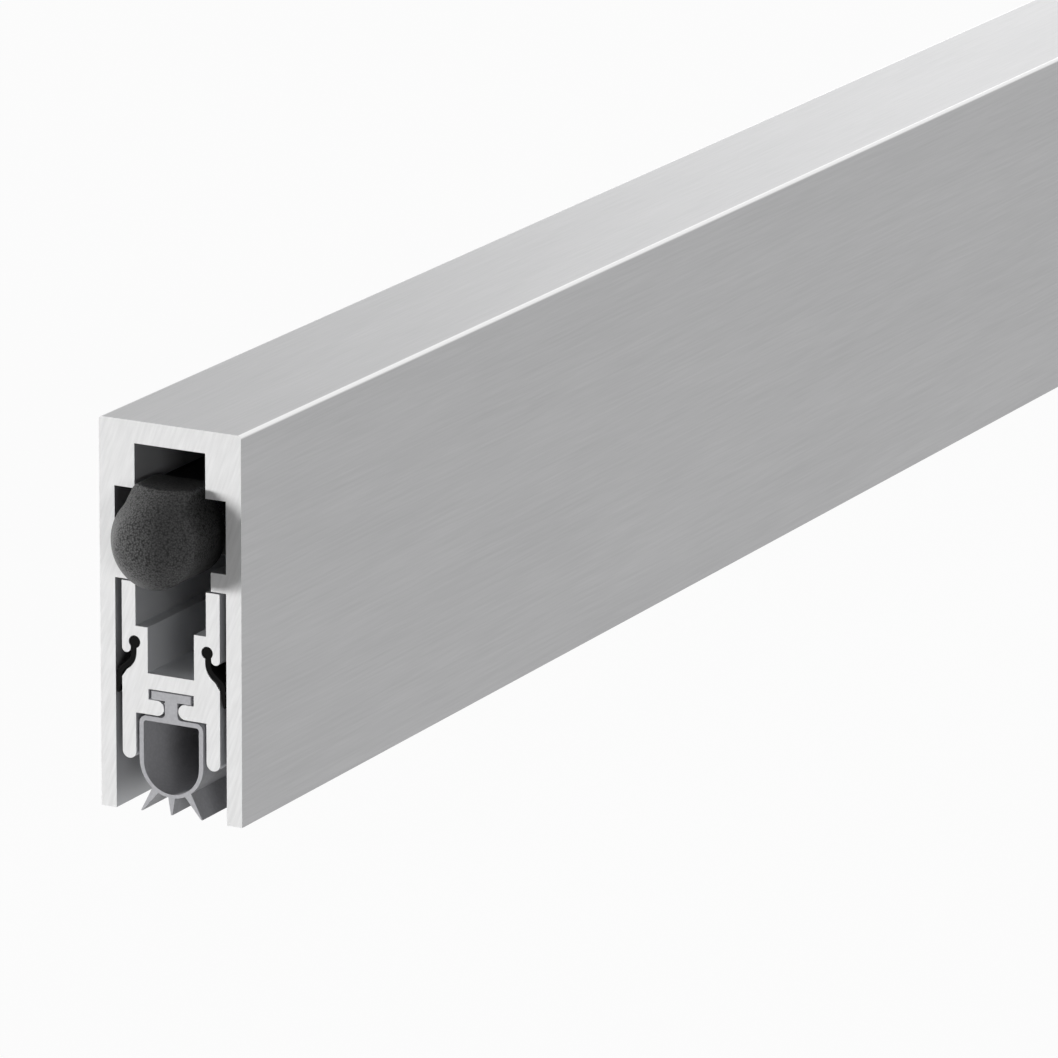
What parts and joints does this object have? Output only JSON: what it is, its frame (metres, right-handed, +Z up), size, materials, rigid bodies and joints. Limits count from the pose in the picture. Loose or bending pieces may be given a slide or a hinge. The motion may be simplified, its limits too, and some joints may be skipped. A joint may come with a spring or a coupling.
{
  "type": "automatic door bottom seal",
  "caption": "Drop-down door bottom seal: a channel housing with a push nose at one end, folding links and an inner carrier with a hollow finned seal that drops to the floor.",
  "frame": {"origin": "centre of the housing's flat top face, at the middle of its length", "axes": "+Z up out of the top face, +Y along the housing away from the push nose, +X across its width"},
  "size_m": [0.014, 0.3412, 0.035],
  "materials": {
    "aluminium": "plain extruded aluminium with fine lengthwise die lines",
    "die_cast_zinc": "satin die-cast zinc",
    "silicone": "soft matt grey silicone",
    "lip_rubber": "matt black rubber",
    "nose_plastic": "black nylon with a grained surface",
    "slide_plastic": "black moulded nylon",
    "steel_bar": "zinc-plated steel strip",
    "small_steel": "bright zinc-plated steel",
    "spring_steel": "drawn spring wire"
  },
  "bodies": {
    "housing": {"housing_profile": "aluminium", "anchor_block": "die_cast_zinc", "anchor_screws": "small_steel", "spring_guide": "small_steel", "return_spring": "spring_steel"},
    "plunger": {"plunger_nose": "nose_plastic", "adjusting_stud": "small_steel", "lock_nut": "small_steel", "plunger_body": "slide_plastic", "push_rod": "steel_bar", "rod_rivets": "small_steel", "slide_block_front": "slide_plastic", "slide_block_rear": "slide_plastic", "pivot_pin_front": "small_steel", "pivot_pin_rear": "small_steel"},
    "link_front": {"link_front": "steel_bar"},
    "link_rear": {"link_rear": "steel_bar"},
    "carrier": {"carrier_profile": "aluminium", "bottom_seal": "silicone", "lip_seal_left": "lip_rubber", "lip_seal_right": "lip_rubber", "foot_front": "die_cast_zinc", "foot_rear": "die_cast_zinc", "foot_pin_front": "small_steel", "foot_pin_rear": "small_steel", "guide_foot": "die_cast_zinc", "guide_pin": "small_steel", "foot_screws": "small_steel"}
  },
  "joints": [
    {"name": "plunger_slide", "type": "slide", "parent": "housing", "child": "plunger", "axis": [0, 1, 0], "range_m": [0, 0.006], "stiffness_N_per_m": 600, "springref_m": -0.008, "deforming": ["return_spring"]},
    {"name": "carrier_drop", "type": "slide", "parent": "housing", "child": "carrier", "axis": [0, 0, -1], "range_m": [0, 0.01]},
    {"name": "link_front_fold", "type": "hinge", "parent": "plunger", "child": "link_front", "pos_m": [0, -0.1055, -0.0092], "axis": [-1, 0, 0], "range_deg": [0, 21.25]},
    {"name": "link_rear_fold", "type": "hinge", "parent": "plunger", "child": "link_rear", "pos_m": [0, 0.0695, -0.0092], "axis": [-1, 0, 0], "range_deg": [0, 21.25]}
  ],
  "couplings": [
    {"joint": "carrier_drop", "follows": "plunger_slide", "ratio": 1.6667},
    {"joint": "link_front_fold", "follows": "plunger_slide", "rad_per_m": 61.78},
    {"joint": "link_rear_fold", "follows": "plunger_slide", "rad_per_m": 61.78}
  ]
}
